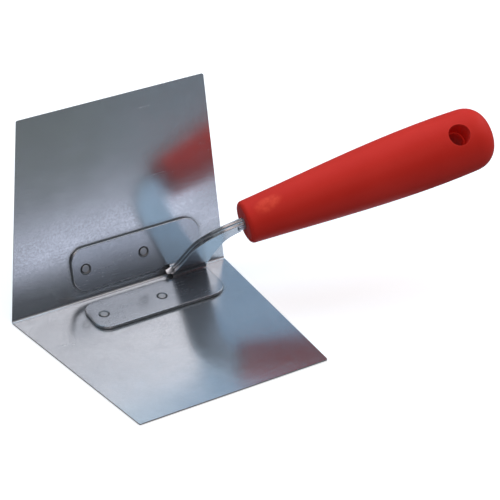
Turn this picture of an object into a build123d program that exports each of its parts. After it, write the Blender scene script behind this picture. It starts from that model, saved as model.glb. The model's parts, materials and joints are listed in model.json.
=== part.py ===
from build123d import *
import os
from math import asin, cos, degrees, radians, sin, tan

os.makedirs("parts", exist_ok=True)

# Inside corner trowel: a thin sheet folded into a V, a neck of two mirrored stamped
# brackets riveted to its wings, and a moulded handle on the brackets' tang.
# Millimetres. The tool lies on one wing, +Z up. +X runs from the nose to the handle.

# ---- Driving dimensions ----

# Blade
crease_length = 108.0
wing_width = 89.6
blade_thickness = 0.6
fold_angle = 104.0
fold_radius = 1.0          # inside the V
nose_inset = 16.0          # how far each outer nose corner sits behind the crease's end
corner_radius = 0.8

# The crease's nose end, on the wings' inner faces, seen from the middle of the footprint
crease_start = Vector(-109.2, 33.7, blade_thickness)

# Brackets: x is measured from the nose, reach from the crease along a wing
sheet = 1.6
foot_front = 31.2
foot_rear = 96.2
foot_inner_reach = 4.6
foot_outer_reach = 25.4
foot_front_radius = 6.4
foot_inner_radius = 6.8
foot_rear_radius = 8.0
bend_radius = 1.2          # inside the bend from foot to neck
seam_round = 0.45          # the stamping's rolled-over edge, on the blade's side
rim_round = 0.3            # and on the open side

# Neck outline in the fold plane: x from the nose, rise from the crease
neck_root_front = 79.0
neck_ear_front = 75.6      # the bend runs this far forward, in a hollow curve
neck_ear_radius = 2.7
neck_ear_turn = 33.0       # degrees round the bend where the hollow starts to curve
neck_waist_rear = 94.8
neck_waist_rise = 20.0
neck_bow_rise = 33.0       # where the rear edge starts to bow towards the handle
neck_front_bow = 22.0
neck_waist_bow = 50.0
neck_heel_rise = 9.5       # the rear edge starts to narrow here
neck_top_offset = 4.3      # the neck's top edge above the handle's axis
neck_bottom_offset = 6.9   # and its lower edge below it
neck_gap = 1.4             # from the neck's flat end to the handle's face
tang_radius = 2.65
tang_overlap = 1.9         # how far the round tang runs back into the flat neck
tang_depth = 60.0

# Rivets
rivet_radius = 1.7
rivet_reach = 15.4
rivet_front_x = 37.6
rivet_rear_x = 66.8
rivet_head_radius = 2.3    # countersunk flush into the blade's outer face
rivet_edge = 0.12
ring_radius = 2.45         # mouth of the groove round a rivet's end in the foot
ring_angle = 118.0

# Handle: measured from its front face along its own axis
handle_mouth_x = 99.8
handle_mouth_rise = 49.4
handle_tilt = 14.3
handle_length = 121.4
handle_front_radius = 9.7
handle_mid = (46.7, 13.05)       # distance from the front face, radius
handle_belly = (91.7, 14.93)
handle_shoulder = (110.2, 14.6)
handle_crown = (117.5, 11.9)
handle_front_round = 2.0
hang_hole_at = 103.2
hang_web_radius = 4.2      # the narrow middle of the hang hole
hang_web_length = 8.0
hang_recess_radius = 4.8   # each side's recess, tapering open from the web
hang_mouth_radius = 5.1
hang_mouth_round = 0.9

# ---- Reference planes ----

half_fold = radians(fold_angle / 2)
along = Vector(1, 0, 0)

# The resting wing's inner face: local x along the crease, local y towards the crease
wing_face = Plane(crease_start, x_dir=along, z_dir=(0, 0, 1))

# The plane that halves the V: local x along the crease, local y up between the wings,
# normal towards the resting wing
fold_plane = Plane(
    crease_start, x_dir=along, z_dir=(0, -sin(half_fold), -cos(half_fold))
)

# Square to the crease at its nose end: local x is row +Y, local y is row +Z
cross_section = Plane(crease_start, x_dir=(0, 1, 0), z_dir=along)

tilt = radians(handle_tilt)
handle_direction = (
    fold_plane.x_dir * cos(tilt) + fold_plane.y_dir * sin(tilt)
)
handle_mouth = fold_plane.from_local_coords((handle_mouth_x, handle_mouth_rise, 0))
handle_section = Plane(handle_mouth, x_dir=handle_direction, z_dir=fold_plane.z_dir)
handle_face = Plane(handle_mouth, x_dir=fold_plane.z_dir, z_dir=handle_direction)
handle_axis = Axis(handle_mouth, handle_direction)


def finish(piece, name):
    """Label a finished piece and write it."""
    piece.part.label = name
    export_step(piece.part, f"parts/{name}.step")


def mirrored(piece):
    """The matching piece on the upright wing."""
    with BuildPart() as twin:
        mirror(piece.part, about=fold_plane)
    return twin


# ---- Rivets: through a foot and its wing, flush on both sides ----


def resting_side_rivet(x):
    """A rivet in the resting wing, seated at x from the nose."""
    seat = Plane(wing_face.from_local_coords((x, -rivet_reach, 0)))
    with BuildPart(seat) as rivet:
        with Locations((0, 0, -blade_thickness)):
            Cone(
                rivet_head_radius, rivet_radius, blade_thickness,
                align=(Align.CENTER, Align.CENTER, Align.MIN),
            )
        Cylinder(rivet_radius, sheet, align=(Align.CENTER, Align.CENTER, Align.MIN))
        chamfer(rivet.edges().sort_by(Axis.Z)[-1], rivet_edge)
    return rivet


lower_rivets = {
    "lower_front_rivet": resting_side_rivet(rivet_front_x),
    "lower_rear_rivet": resting_side_rivet(rivet_rear_x),
}
upper_rivets = {
    name.replace("lower", "upper"): mirrored(rivet) for name, rivet in lower_rivets.items()
}

# ---- Blade: one sheet, folded, with slanted nose edges ----

upright_angle = radians(180.0 - fold_angle)
resting_tip = (-wing_width, 0)
upright_tip = (wing_width * cos(upright_angle), wing_width * sin(upright_angle))

with BuildPart() as blade:
    with BuildSketch(cross_section):
        with BuildLine():
            FilletPolyline(resting_tip, (0, 0), upright_tip, radius=fold_radius)
            offset(amount=blade_thickness, side=Side.RIGHT)
        make_face()
    extrude(amount=crease_length)

    # The nose slant on the resting wing, and its match on the upright one
    with BuildSketch(wing_face):
        with BuildLine():
            Polyline(
                (0, 0), (nose_inset, -wing_width), (nose_inset, -wing_width - 1),
                (-1, -wing_width - 1), (-1, 0), close=True,
            )
        make_face()
    slant = extrude(amount=2 * blade_thickness, both=True, mode=Mode.SUBTRACT)
    mirror(slant, about=fold_plane, mode=Mode.SUBTRACT)

    # The wings' outer corners are the short edges through the sheet, far from the fold
    sheet_edges = blade.edges().filter_by(
        lambda edge: abs(edge.length - blade_thickness) < 0.01
    )
    wing_corners = sheet_edges.filter_by(
        lambda edge: (edge @ 0.5 - crease_start).cross(along).length > wing_width - 1
    )
    fillet(wing_corners, radius=corner_radius)

    for rivet in (*lower_rivets.values(), *upper_rivets.values()):
        add(rivet.part, mode=Mode.SUBTRACT)

# ---- Lower bracket: foot, bend, half of the neck and half of the tang ----

bend_outer = bend_radius + sheet
bend_reach = bend_outer / tan(half_fold / 2)   # where the bend leaves the wing
bend_turn = 180.0 - fold_angle / 2
bend_centre = (-bend_reach, bend_outer)
bend_middle = bend_radius + sheet / 2


def beside_axis(distance, rise):
    """A fold-plane point, by its distance along the handle's axis and its rise above it."""
    return (
        handle_mouth_x + distance * cos(tilt) - rise * sin(tilt),
        handle_mouth_rise + distance * sin(tilt) + rise * cos(tilt),
    )


neck_root = (neck_root_front, bend_reach)
neck_heel = (foot_rear, bend_reach)
neck_end_top = beside_axis(-neck_gap, neck_top_offset)
neck_end_bottom = beside_axis(-neck_gap, -neck_bottom_offset)
neck_front_corner = (
    neck_root_front,
    neck_end_top[1] - (neck_end_top[0] - neck_root_front) * tan(tilt),
)
neck_waist = (neck_waist_rear, neck_waist_rise)

with BuildPart() as lower_bracket:
    # Bend from the foot up to the neck, hollowed ahead of the neck's front edge
    with BuildSketch(cross_section.offset(neck_ear_front)):
        with BuildLine():
            outside = CenterArc(bend_centre, bend_outer, -90, bend_turn)
            inside = CenterArc(bend_centre, bend_radius, -90, bend_turn)
            Line(outside @ 0, inside @ 0)
            Line(outside @ 1, inside @ 1)
        make_face()
    extrude(amount=foot_rear - neck_ear_front)
    # The hollow is cut square to the sheet at the middle of its curve
    ear_middle = neck_ear_turn + degrees(asin(neck_ear_radius / (2 * bend_middle)))
    ear_view = Plane(
        cross_section.from_local_coords(bend_centre),
        x_dir=along,
        z_dir=(0, sin(radians(ear_middle)), -cos(radians(ear_middle))),
    )
    with BuildSketch(ear_view) as ear_hollow:
        with Locations((neck_root_front, -neck_ear_radius / 2)):
            Rectangle(
                neck_root_front - neck_ear_front + 2, 3 * bend_outer,
                align=(Align.MAX, Align.MIN),
            )
        fillet(
            ear_hollow.vertices().group_by(Axis.X)[-1].sort_by(Axis.Y)[0],
            radius=neck_ear_radius,
        )
    extrude(amount=2 * bend_outer, mode=Mode.SUBTRACT)

    # Foot plate
    with BuildSketch(wing_face) as foot:
        with Locations((foot_front, -foot_inner_reach)):
            Rectangle(
                foot_rear - foot_front, foot_outer_reach - foot_inner_reach,
                align=(Align.MIN, Align.MAX),
            )
        fillet(
            foot.vertices().group_by(Axis.X)[0].sort_by(Axis.Y)[0], radius=foot_front_radius
        )
        fillet(
            foot.vertices().group_by(Axis.X)[0].sort_by(Axis.Y)[-1], radius=foot_inner_radius
        )
        fillet(
            foot.vertices().group_by(Axis.X)[-1].sort_by(Axis.Y)[0], radius=foot_rear_radius
        )
        # The bend takes over from the plate along the neck's root
        with Locations((neck_ear_front, 0)):
            Rectangle(
                foot_rear - neck_ear_front + 1, bend_reach,
                align=(Align.MIN, Align.MAX), mode=Mode.SUBTRACT,
            )
    extrude(amount=sheet)

    # Half of the neck, flat against the fold plane
    with BuildSketch(fold_plane):
        with BuildLine():
            FilletPolyline(neck_root, neck_front_corner, neck_end_top, radius=neck_front_bow)
            Line(neck_end_top, neck_end_bottom)
            rear_bow = TangentArc(
                (neck_waist_rear, neck_bow_rise), neck_end_bottom, tangent=(0, 1)
            )
            FilletPolyline(
                rear_bow @ 0, neck_waist, (foot_rear, neck_heel_rise), neck_heel,
                radius=[neck_waist_bow, neck_waist_bow],
            )
            Line(neck_heel, neck_root)
        make_face()
    extrude(amount=sheet)

    # Both faces' edges are rounded, from the neck's end down and around the foot
    for depth, radius in ((0, seam_round), (sheet, rim_round)):
        for x in (neck_root_front, neck_waist_rear):
            beside = fold_plane.from_local_coords((x, neck_waist_rise, depth))
            fillet(lower_bracket.edges().sort_by_distance(beside)[0], radius=radius)

    # Half of the tang: a pressed channel that its twin closes into a tube
    with BuildSketch(handle_face.offset(-neck_gap - tang_overlap)):
        Circle(tang_radius)
        Circle(tang_radius - sheet, mode=Mode.SUBTRACT)
        Rectangle(
            2 * tang_radius, 3 * tang_radius,
            align=(Align.MAX, Align.CENTER), mode=Mode.SUBTRACT,
        )
    extrude(amount=tang_overlap + neck_gap + tang_depth)

    # A grooved rivet hole at each rivet
    for x in (rivet_front_x, rivet_rear_x):
        with Locations(Plane(wing_face.from_local_coords((x, -rivet_reach, sheet)))):
            CounterSinkHole(rivet_radius, ring_radius, sheet, ring_angle)

upper_bracket = mirrored(lower_bracket)

# ---- Handle: a turned-looking moulding with the tang's socket and a hang hole ----

with BuildPart() as handle:
    with BuildSketch(handle_section):
        with BuildLine():
            face = Line((0, 0), (0, handle_front_radius))
            barrel = Spline(face @ 1, handle_mid, handle_belly, handle_shoulder)
            Spline(
                barrel @ 1, handle_crown, (handle_length, 0), tangents=(barrel % 1, (0, -1))
            )
            Line((handle_length, 0), (0, 0))
        make_face()
    revolve(axis=handle_axis)
    fillet(
        handle.edges().filter_by(GeomType.CIRCLE).sort_by(handle_axis)[0],
        radius=handle_front_round,
    )

    with BuildSketch(handle_face):
        Circle(tang_radius)
    extrude(amount=tang_depth, mode=Mode.SUBTRACT)

    # The hang hole runs square through the handle in the fold plane
    hole_centre = handle_section.from_local_coords((hang_hole_at, 0, 0))
    hole_section = Plane(hole_centre, x_dir=handle_direction, z_dir=fold_plane.z_dir)
    with BuildSketch(hole_section):
        web_half = hang_web_length / 2
        for side in (1, -1):
            with BuildLine():
                Polyline(
                    (0, 0), (hang_web_radius, 0), (hang_web_radius, side * web_half),
                    (hang_recess_radius, side * web_half),
                    (hang_mouth_radius, side * handle_belly[1]),
                    (hang_mouth_radius, side * handle_length / 6),
                    (0, side * handle_length / 6), close=True,
                )
            make_face()
    revolve(axis=Axis(hole_centre, hole_section.y_dir), mode=Mode.SUBTRACT)
    hole_mouths = handle.edges(Select.LAST).filter_by(
        lambda edge: edge.is_closed and edge.geom_type != GeomType.CIRCLE
    )
    fillet(hole_mouths, radius=hang_mouth_round)

# ---- Write every piece ----

finish(blade, "blade")
finish(lower_bracket, "lower_bracket")
finish(upper_bracket, "upper_bracket")
finish(handle, "handle")
for name, rivet in {**lower_rivets, **upper_rivets}.items():
    finish(rivet, name)
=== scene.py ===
import json
from math import cos, pi, radians, sin

import bpy
from mathutils import Matrix, Vector


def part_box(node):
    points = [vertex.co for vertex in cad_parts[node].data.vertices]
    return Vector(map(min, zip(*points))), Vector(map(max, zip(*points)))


# An inside corner trowel on a pale floor. The shapes come from the CAD frame; this script
# gives them their materials, light and camera. Metres, in the CAD's own frame: the crease
# runs along X, nose at -X, the resting wing lies on Z = 0 and the handle points to +X.

mm = 0.001

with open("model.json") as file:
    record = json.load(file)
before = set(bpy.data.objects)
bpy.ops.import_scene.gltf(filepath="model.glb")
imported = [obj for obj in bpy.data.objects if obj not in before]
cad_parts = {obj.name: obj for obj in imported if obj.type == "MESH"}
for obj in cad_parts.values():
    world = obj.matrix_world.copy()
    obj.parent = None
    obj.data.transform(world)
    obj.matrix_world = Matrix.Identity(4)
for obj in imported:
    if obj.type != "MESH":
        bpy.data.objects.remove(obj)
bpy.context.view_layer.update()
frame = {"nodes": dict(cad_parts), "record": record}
nodes = frame["nodes"]
scene = bpy.context.scene

# ---- Places on the object, from the record's mounts and the rivets' boxes ----

mounts = {mount["name"]: mount for mount in frame["record"]["mounts"]}


def mount_place(name):
    return Vector(mounts[name]["pos_m"]), Vector(mounts[name]["axis"])


def crease_line():
    """A point on the line where the wings' outer faces would meet. The line runs along X."""
    resting = mount_place("rest_face")[0]
    upright, outward = mount_place("upright_face")
    drop = resting.z - upright.z
    return Vector((resting.x, upright.y - outward.z * drop / outward.y, resting.z))


def over_rivets():
    """A point over each rivet, 2 mm above its end on the foot plate."""
    height = 3.1 * mm  # from the middle of the rivet, which is 2.2 mm long
    points = []
    for side, face in (("lower", "rest_face"), ("upper", "upright_face")):
        outward = mount_place(face)[1]
        for place in ("front", "rear"):
            low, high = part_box(f"{side}_{place}_rivet")
            points.append((Vector(low) + Vector(high)) / 2 - height * outward)
    return points


# ---- Node helpers ----


class Shader:
    """A node material under construction. Methods return output sockets."""

    def __init__(self, name):
        self.material = bpy.data.materials.new(name)
        self.material.use_nodes = True
        self.tree = self.material.node_tree
        self.tree.nodes.clear()
        self.output = self.tree.nodes.new("ShaderNodeOutputMaterial")

    def node(self, kind, inputs=None, **settings):
        made = self.tree.nodes.new("ShaderNode" + kind)
        for key, value in settings.items():
            setattr(made, key, value)
        for key, value in (inputs or {}).items():
            if isinstance(value, bpy.types.NodeSocket):
                self.tree.links.new(value, made.inputs[key])
            else:
                made.inputs[key].default_value = value
        return made

    def place(self, stretch=(1, 1, 1), turn=(0, 0, 0)):
        """Object coordinates in metres, turned and stretched."""
        inputs = {"Vector": self.position(), "Rotation": turn, "Scale": stretch}
        return self.node("Mapping", inputs).outputs["Vector"]

    def noise(self, vector, scale=1.0, detail=2.0, roughness=0.5, distortion=0.0):
        inputs = {
            "Vector": vector, "Scale": scale, "Detail": detail,
            "Roughness": roughness, "Distortion": distortion,
        }
        return self.node("TexNoise", inputs).outputs["Fac"]

    def spread(self, value, low, high, to_low=0.0, to_high=1.0, smooth=False):
        """Map low..high of a value to to_low..to_high, clamped."""
        inputs = {
            "Value": value, "From Min": low, "From Max": high,
            "To Min": to_low, "To Max": to_high,
        }
        kind = "SMOOTHSTEP" if smooth else "LINEAR"
        return self.node("MapRange", inputs, interpolation_type=kind).outputs["Result"]

    def math(self, operation, a, b=0.0, c=0.0):
        made = self.node("Math", {0: a, 1: b, 2: c}, operation=operation)
        return made.outputs["Value"]

    def mix(self, factor, a, b):
        """A colour between a and b."""
        first_colour, second_colour, mixed_colour = 6, 7, 2  # the node's RGBA sockets
        inputs = {"Factor": factor, first_colour: a, second_colour: b}
        return self.node("Mix", inputs, data_type="RGBA").outputs[mixed_colour]

    def bump(self, height, distance, strength=1.0, normal=None):
        inputs = {"Height": height, "Distance": distance, "Strength": strength}
        if normal is not None:
            inputs["Normal"] = normal
        return self.node("Bump", inputs).outputs["Normal"]

    def edges(self, radius):
        """0 on flat ground, rising to 1 at the rounded edges."""
        soft = self.node("Bevel", {"Radius": radius}, samples=6).outputs["Normal"]
        true = self.node("NewGeometry").outputs["Normal"]
        alike = self.along("DOT_PRODUCT", soft, true, "Value")
        return self.spread(alike, 0.995, 0.85)

    def crevice(self, reach):
        """0 in the open, rising to 1 in tight corners."""
        open_share = self.node("AmbientOcclusion", {"Distance": reach}, samples=8)
        return self.spread(open_share.outputs["AO"], 0.92, 0.5)

    def along(self, operation, a, b=(0, 0, 0), output="Vector"):
        """A sum or product of two vectors, or a length or distance with output Value."""
        return self.node("VectorMath", {0: a, 1: b}, operation=operation).outputs[output]

    def position(self):
        return self.node("TexCoord").outputs["Object"]

    def line_distance(self, point, direction):
        """Distance from a line. The direction has length 1."""
        away = self.along("SUBTRACT", self.position(), point)
        across = self.along("CROSS_PRODUCT", away, direction)
        return self.along("LENGTH", across, output="Value")

    def point_distance(self, points):
        """Distance from the nearest of some points."""
        position = self.position()
        nearest = None
        for point in points:
            away = self.along("DISTANCE", position, point, "Value")
            nearest = away if nearest is None else self.math("MINIMUM", nearest, away)
        return nearest

    def times(self, a, b):
        return self.math("MULTIPLY", a, b)

    def total(self, *parts):
        result = parts[0]
        for part in parts[1:]:
            result = self.math("ADD", result, part)
        return result

    def finish(self, inputs):
        """A Principled surface. inputs gives its sockets by name."""
        surface = self.node("BsdfPrincipled", inputs)
        self.tree.links.new(surface.outputs["BSDF"], self.output.inputs["Surface"])
        return self.material


def grey(value):
    return (value, value, value, 1.0)


# ---- Materials ----


def satin_steel(name, tint, roughness):
    """Cold-rolled stainless sheet: faint grain along the crease, smudges, hairline scratches.

    It is dull in the fold, with painted shade in tight corners and the grooves round the rivets.
    """
    painted_shade_colour = (0.05, 0.06, 0.065, 1)
    bright_edge = grey(0.86)
    uneven_tint = [0.88 * channel for channel in tint[:3]] + [1]

    s = Shader(name)
    grain = s.noise(s.place((60, 4000, 4000)), detail=2, roughness=0.65)
    cloudy = s.noise(s.place(), scale=26, detail=4, roughness=0.6, distortion=0.4)
    blotch = s.noise(s.place(), scale=95, detail=2)
    speckle = s.noise(s.place(), scale=1100, detail=1)
    smudge = s.noise(s.place((1, 1.6, 1), (0.4, 0, 0.3)), scale=42, detail=3, distortion=1.4)
    smudge = s.spread(smudge, 0.54, 0.7, smooth=True)

    # Hairline scratches: the crests of a long-drawn noise, in two directions
    marks = None
    for turn, seed in (((0.5, 0.35, 0.6), 3.0), ((0.2, -0.5, -0.9), 11.0)):
        drawn = s.along("ADD", s.place((22, 3200, 3200), turn), (seed, seed, seed))
        crest = s.spread(s.noise(drawn, detail=1), 0.72, 0.77)
        marks = crest if marks is None else s.math("MAXIMUM", marks, crest)
    marks = s.times(marks, s.spread(blotch, 0.5, 0.62))

    # The dull inside of the fold, and painted shade in tight corners and the rivet grooves.
    # Near the crease the wings already shade each other, so corners count only away from it.
    from_crease = s.line_distance(crease_line(), (1, 0, 0))
    fold = s.spread(from_crease, 1.7 * mm, 1.2 * mm)
    from_rivets = s.point_distance(over_rivets())
    inner_rim = s.spread(from_rivets, 2.6 * mm, 2.76 * mm)
    outer_rim = s.spread(from_rivets, 3.36 * mm, 3.16 * mm)
    tight = s.times(s.crevice(2.6 * mm), s.spread(from_crease, 2.2 * mm, 4.2 * mm))
    painted_shade_mask = s.math("MAXIMUM", s.times(tight, 0.65), s.times(inner_rim, outer_rim))

    rough = s.total(
        s.spread(cloudy, 0.3, 0.7, roughness * 0.88, roughness * 1.14),
        s.spread(grain, 0.35, 0.7, -0.02, 0.03),
        s.times(smudge, 0.025),
        s.spread(speckle, 0.35, 0.65, -0.015, 0.015),
        s.times(marks, 0.05),
        s.times(fold, 0.12),
        s.times(painted_shade_mask, 0.2),
    )
    uneven = s.total(s.spread(blotch, 0.3, 0.7, 0, 0.4), s.spread(speckle, 0.35, 0.65, 0, 0.6))
    colour = s.mix(uneven, tint, uneven_tint)
    colour = s.mix(s.times(s.edges(0.4 * mm), 0.5), colour, bright_edge)
    # Painted shade: the colour darkens in tight corners and in the rivet grooves
    colour = s.mix(s.times(painted_shade_mask, 0.78), colour, painted_shade_colour)
    normal = s.bump(grain, 0.0012 * mm, 0.5)
    normal = s.bump(s.times(marks, -1.0), 0.0015 * mm, 0.5, normal)
    return s.finish(
        {"Base Color": colour, "Metallic": 0.9, "Roughness": rough, "Normal": normal}
    )


def red_plastic():
    """Injection-moulded satin plastic: orange peel, handling scuffs, painted highlight near the
    nose.
    """
    darker_red = (0.69, 0.032, 0.022, 1)
    lighter_red = (0.75, 0.04, 0.028, 1)
    # Paler red for the painted highlight near the nose
    highlight_red = (0.95, 0.1, 0.055, 1)
    # Lighter red painted in the hang hole against its shade
    bore_painted_light_red = (0.85, 0.06, 0.045, 1)

    s = Shader("red_plastic")
    cloudy = s.noise(s.place(), scale=35, detail=3)
    peel = s.noise(s.place(), scale=900, detail=2)
    scuff = s.spread(s.noise(s.place((120, 900, 900), (0, 0.2, 0.15)), detail=2), 0.62, 0.8)
    colour = s.mix(s.spread(cloudy, 0.3, 0.7), darker_red, lighter_red)

    # A painted highlight: a paler oval on top, near the nose
    highlight_place = Vector((-1.0, -2.6, 50.6)) * mm
    oval = (1.0, 2.1, 1.3)
    from_highlight = s.along("MULTIPLY", s.along("SUBTRACT", s.position(), highlight_place), oval)
    from_highlight = s.along("LENGTH", from_highlight, output="Value")
    painted_highlight = s.spread(from_highlight, 8.5 * mm, 3.5 * mm, 0.0, 0.75, smooth=True)
    painted_highlight = s.times(painted_highlight, s.spread(s.noise(s.place(), scale=420), 0.35, 0.6, 0.45))
    colour = s.mix(painted_highlight, colour, highlight_red)

    # The hang hole's inside: rougher, less glossy, and painted lighter against its shade
    bore = s.spread(s.line_distance(*mount_place("hang_hole")), 5.6 * mm, 4.9 * mm)
    colour = s.mix(bore, colour, bore_painted_light_red)
    rough = s.total(
        s.spread(cloudy, 0.3, 0.7, 0.4, 0.48), s.times(scuff, 0.1), s.times(bore, 0.3)
    )
    return s.finish(
        {
            "Base Color": colour,
            "Roughness": rough,
            "Normal": s.bump(peel, 0.03 * mm, 0.35),
            "Specular IOR Level": s.spread(bore, 0, 1, 0.07, 0.02),
        }
    )


looks = {
    "blade": satin_steel("blade_steel", (0.61, 0.65, 0.69, 1), 0.2),
    "bracket": satin_steel("bracket_steel", (0.47, 0.512, 0.56, 1), 0.22),
    "rivet": satin_steel("rivet_steel", (0.48, 0.51, 0.54, 1), 0.3),
    "handle": red_plastic(),
}
for name, piece in nodes.items():
    kind = name.split("_")[-1]
    piece.data.materials.clear()
    piece.data.materials.append(looks[kind])


# ---- Floor ----


def floor(name, tone, glow, drop):
    """A plain table top just under the tool, with a faint mottle."""
    half_width = 4.0
    mottle = 0.02
    mesh = bpy.data.meshes.new(name)
    corners = [
        (x * half_width, y * half_width, -drop)
        for x, y in ((-1, -1), (1, -1), (1, 1), (-1, 1))
    ]
    mesh.from_pydata(corners, [], [(0, 1, 2, 3)])
    s = Shader(name)
    mottled = s.noise(s.place(), scale=8, detail=3)
    surface = {
        "Base Color": s.mix(s.spread(mottled, 0.3, 0.7), grey(tone), grey(tone + mottle)),
        "Roughness": 0.85,
        "Emission Color": grey(1),
        "Emission Strength": glow,
    }
    mesh.materials.append(s.finish(surface))
    made = bpy.data.objects.new(name, mesh)
    scene.collection.objects.link(made)
    return made


# The white sheet that is seen, and a greyer one that gives the light that comes back up
white_sheet = floor("white_sheet", tone=0.92, glow=0.4, drop=0.2 * mm)
white_sheet.visible_diffuse = white_sheet.visible_glossy = white_sheet.visible_shadow = False
grey_sheet = floor("grey_sheet", tone=0.26, glow=0.0, drop=0.3 * mm)
grey_sheet.visible_camera = False

# ---- Light: soft boxes round the table, seen from the tool by azimuth and elevation ----

# Azimuth is measured from +Y towards +X, both angles in degrees. Glow is the box's own
# brightness, so a larger box gives more light. The glows and colours here, and those of the
# cards below, started from a least-squares fit to the photograph made outside this script,
# and were then rounded and changed.
light_aim = Vector((-0.02, 0, 0.03))
light_distance = 1.6
white = (1, 1, 1)
cream = (1, 0.89, 0.86)
warm = (1, 0.8, 0.72)
cool = (0.92, 0.96, 1)
pale_blue = (0.85, 0.94, 1)
sky_blue = (0.65, 0.84, 1)
deep_blue = (0.5, 0.72, 1)
soft_boxes = {
    "back_box": dict(azimuth=340, elevation=34, size=(2.3, 1.3), glow=0.92, colour=pale_blue),
    "top_box": dict(azimuth=352, elevation=72, size=(1.8, 1.1), glow=1.85, colour=sky_blue),
    "gap_box": dict(azimuth=38, elevation=34, size=(0.5, 1.2), glow=0.5, colour=deep_blue),
    "right_box": dict(azimuth=90, elevation=34, size=(1.6, 1.3), glow=1.7, colour=cool),
    "right_top_box": dict(azimuth=130, elevation=57, size=(0.8, 0.6), glow=2.1, colour=cream),
    "left_box": dict(azimuth=275, elevation=45, size=(0.9, 1.1), glow=0.35, colour=white),
    "front_box": dict(azimuth=205, elevation=48, size=(1.4, 0.9), glow=1.6, colour=warm),
}


def soft_box(name, azimuth, elevation, size, glow, colour):
    light = bpy.data.lights.new(name, "AREA")
    light.shape = "RECTANGLE"
    light.size, light.size_y = size
    light.energy = glow * pi * size[0] * size[1]
    light.color = colour
    made = bpy.data.objects.new(name, light)
    azimuth, elevation = radians(azimuth), radians(elevation)
    towards = Vector(
        (sin(azimuth) * cos(elevation), cos(azimuth) * cos(elevation), sin(elevation))
    )
    made.location = light_aim + light_distance * towards
    made.rotation_mode = "QUATERNION"
    made.rotation_quaternion = (-towards).to_track_quat("-Z", "Y")
    scene.collection.objects.link(made)


for name, settings in soft_boxes.items():
    soft_box(name, **settings)


# ---- Cards on the table: what the upright wing and the neck mirror ----

# They are staging. They shape the wings' reflections for the photograph's viewpoint, and say
# nothing about the steel itself.

# The sides of most cards fan out from this place, in X and Y
card_fan = Vector((-0.055, 0.05))


def studio_card(name, outline, shade, colour):
    """A card on the table that only reflections see, like a flag in a studio.

    shade gives its glow, a number or a socket of the Shader it is called with.
    """
    lift = 0.1 * mm
    mesh = bpy.data.meshes.new(name)
    mesh.from_pydata([(x, y, lift) for x, y in outline], [], [(0, 1, 2, 3)])
    s = Shader(name)
    glowing = s.node("Emission", {"Color": (*colour, 1), "Strength": shade(s)})
    s.tree.links.new(glowing.outputs["Emission"], s.output.inputs["Surface"])
    mesh.materials.append(s.material)
    made = bpy.data.objects.new(name, mesh)
    made.visible_camera = made.visible_diffuse = made.visible_shadow = False
    made.visible_transmission = made.visible_volume_scatter = False
    scene.collection.objects.link(made)


def fan_card(name, y_range, leans, shade, colour):
    """A card between two lines in front of the crease.

    leans are how far its sides lean towards +X for each metre to the front.
    """
    near, far = y_range
    left, right = leans
    corners = ((near, left), (near, right), (far, right), (far, left))
    outline = [(card_fan.x + lean * (card_fan.y - y), y) for y, lean in corners]
    studio_card(name, outline, shade, colour)


def place_on_card(s):
    """X and Y of a place on a card."""
    place = s.node("SeparateXYZ", {"Vector": s.position()})
    return place.outputs["X"], place.outputs["Y"]


def pool_of_light(s):
    """Bright in the middle of the card, falling off to the front and to the back."""
    x, y = place_on_card(s)
    lean = s.math("DIVIDE", s.math("SUBTRACT", x, card_fan.x), s.math("SUBTRACT", card_fan.y, y))
    near_side = s.spread(y, -0.07, -0.13, 0.34, 1.6, smooth=True)
    slanted = s.math("MULTIPLY_ADD", lean, 0.12, y)
    far_side = s.spread(slanted, -0.13, -0.28, 1.0, 0.03, smooth=True)
    return s.times(near_side, far_side)


def side_light(s):
    """Fading towards the front."""
    y = place_on_card(s)[1]
    return s.spread(y, -0.1, -0.2, 1.33, 0.38, smooth=True)


def even(glow):
    return lambda s: glow


bluish = (0.74, 0.87, 1)
heel_blue = (0.8, 0.88, 1)
lilac = (0.83, 0.85, 1)
greenish = (0.9, 1, 0.97)
heel_outline = [(0.0, -0.03), (0.09, -0.03), (0.09, 0.09), (0.0, 0.09)]
close_range = (-0.058, -0.36)
far_range = (-0.36, -4.0)
studio_card("heel_card", heel_outline, even(0.95), heel_blue)
fan_card("pool_card", close_range, (-0.2, 0.65), pool_of_light, lilac)
fan_card("side_card", close_range, (0.65, 1.4), side_light, lilac)
fan_card("dark_card", far_range, (-1.2, 0.45), even(0.24), greenish)
fan_card("dim_card", far_range, (0.45, 1.4), even(0.38), bluish)

# ---- The dim room round the table ----


def surroundings():
    world = bpy.data.worlds.new("studio")
    world.use_nodes = True
    scene.world = world
    background = world.node_tree.nodes["Background"]
    background.inputs["Color"].default_value = (0.6, 0.8, 1, 1)
    background.inputs["Strength"].default_value = 0.04


surroundings()

# ---- Camera: the photograph's viewpoint, from a fit to points of the tool in it ----

camera_place = Vector((-0.3732, -0.5887, 0.4885))
camera_aim = Vector((-0.0105, -0.0042, 0.03))
camera_roll = radians(1.82)
camera_lens = 134.84


def camera():
    lens = bpy.data.cameras.new("camera")
    lens.lens = camera_lens
    lens.clip_start, lens.clip_end = 0.01, 20
    made = bpy.data.objects.new("camera", lens)
    level = (camera_aim - camera_place).to_track_quat("-Z", "Y").to_matrix().to_4x4()
    made.matrix_world = (
        Matrix.Translation(camera_place) @ level @ Matrix.Rotation(camera_roll, 4, "Z")
    )
    scene.collection.objects.link(made)
    scene.camera = made


camera()
scene.view_settings.view_transform = "Standard"
